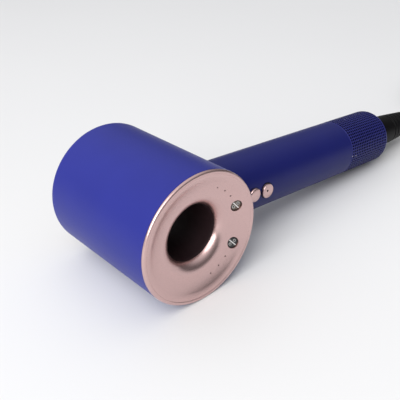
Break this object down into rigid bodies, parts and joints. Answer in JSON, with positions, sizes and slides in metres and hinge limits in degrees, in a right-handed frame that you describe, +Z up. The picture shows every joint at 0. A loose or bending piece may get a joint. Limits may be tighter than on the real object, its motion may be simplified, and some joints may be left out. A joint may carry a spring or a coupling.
{
  "type": "hair dryer",
  "caption": "Hair dryer with a short open barrel head, a dished rear face with buttons, a tubular motor handle with a perforated intake cage, and a coiled mains lead.",
  "frame": {"origin": "on the floor under the middle of the dryer as it lies on its side, without its mains lead", "axes": "+X from the head to the end of the handle, +Y along the head towards the air outlet, +Z up from the floor that the head and the handle end rest on"},
  "size_m": [0.4681, 0.1137, 0.078],
  "materials": {
    "sleeve_blue": "satin soft-touch paint",
    "rose_metal": "satin rose metallic",
    "duct_black": "gloss black",
    "button_dark": "smoked chrome",
    "frame_black": "matte black",
    "steel": "bright steel",
    "light_pipe": "smoked clear",
    "mica": "mica board",
    "heater_wire": "nichrome wire",
    "board_green": "solder mask",
    "component_black": "moulded component",
    "wire": "wire insulation",
    "motor_metal": "die cast",
    "copper": "enamelled copper",
    "rubber_black": "matte rubber",
    "cord_black": "satin flexible sheath",
    "pin_metal": "nickel plated"
  },
  "bodies": {
    "dryer_body": {"outer_sleeve": "sleeve_blue", "rear_cover": "rose_metal", "inner_duct": "duct_black", "front_bezel": "rose_metal", "magnet_carrier": "frame_black", "attachment_magnets": "steel", "head_frame": "frame_black", "rear_gasket": "rubber_black", "heater_frame": "mica", "heater_coils": "heater_wire", "thermal_cutout": "steel", "thermistor": "component_black", "ionizer_module": "duct_black", "emitter_pin": "steel", "control_board": "board_green", "tact_switches": "component_black", "light_guides": "light_pipe", "board_screws": "steel", "head_harness": "wire", "handle_shell": "sleeve_blue", "switch_board": "board_green", "handle_switches": "component_black", "motor_housing": "motor_metal", "front_motor_mount": "rubber_black", "rear_motor_mount": "rubber_black", "stator_core": "steel", "stator_coils": "copper", "diffuser_vanes": "frame_black", "front_bearing": "steel", "rear_bearing": "steel", "acoustic_foam": "rubber_black", "power_board": "board_green", "power_components": "component_black", "intake_frame": "frame_black", "filter_mesh": "steel", "end_cap": "frame_black", "cord_clamp": "frame_black", "clamp_screws": "steel", "mains_wires": "wire", "cord_guard": "rubber_black", "cord_lead": "cord_black", "cord_coil": "cord_black", "cord_tail": "cord_black", "cord_tie": "rubber_black", "plug_body": "rubber_black", "plug_pins": "pin_metal"},
    "slider": {"power_slider": "rose_metal"},
    "cool_key": {"cool_button": "rose_metal"},
    "airflow_key": {"airflow_button": "button_dark"},
    "heat_key": {"heat_button": "button_dark"},
    "rotor": {"rotor_magnet": "steel", "motor_shaft": "steel", "impeller": "motor_metal"},
    "cage": {"filter_cage": "sleeve_blue"}
  },
  "joints": [
    {"name": "power_slide", "type": "slide", "parent": "dryer_body", "child": "slider", "axis": [-0.9951, 0, 0.0987], "range_m": [0, 0.0035]},
    {"name": "cool_press", "type": "slide", "parent": "dryer_body", "child": "cool_key", "axis": [0, 1, 0], "range_m": [0, 0.0012], "stiffness_N_per_m": 260},
    {"name": "airflow_press", "type": "slide", "parent": "dryer_body", "child": "airflow_key", "axis": [0.3013, 0.9499, 0.0837], "range_m": [0, 0.0008], "stiffness_N_per_m": 260},
    {"name": "heat_press", "type": "slide", "parent": "dryer_body", "child": "heat_key", "axis": [0.2656, 0.9499, -0.1651], "range_m": [0, 0.0008], "stiffness_N_per_m": 260},
    {"name": "motor_spin", "type": "hinge", "parent": "dryer_body", "child": "rotor", "pos_m": [0.01644, -0.0058, 0.02913], "axis": [0.9951, 0, -0.0987], "continuous": true},
    {"name": "cage_pull", "type": "slide", "parent": "dryer_body", "child": "cage", "axis": [0.9951, 0, -0.0987], "range_m": [0, 0.046]}
  ]
}
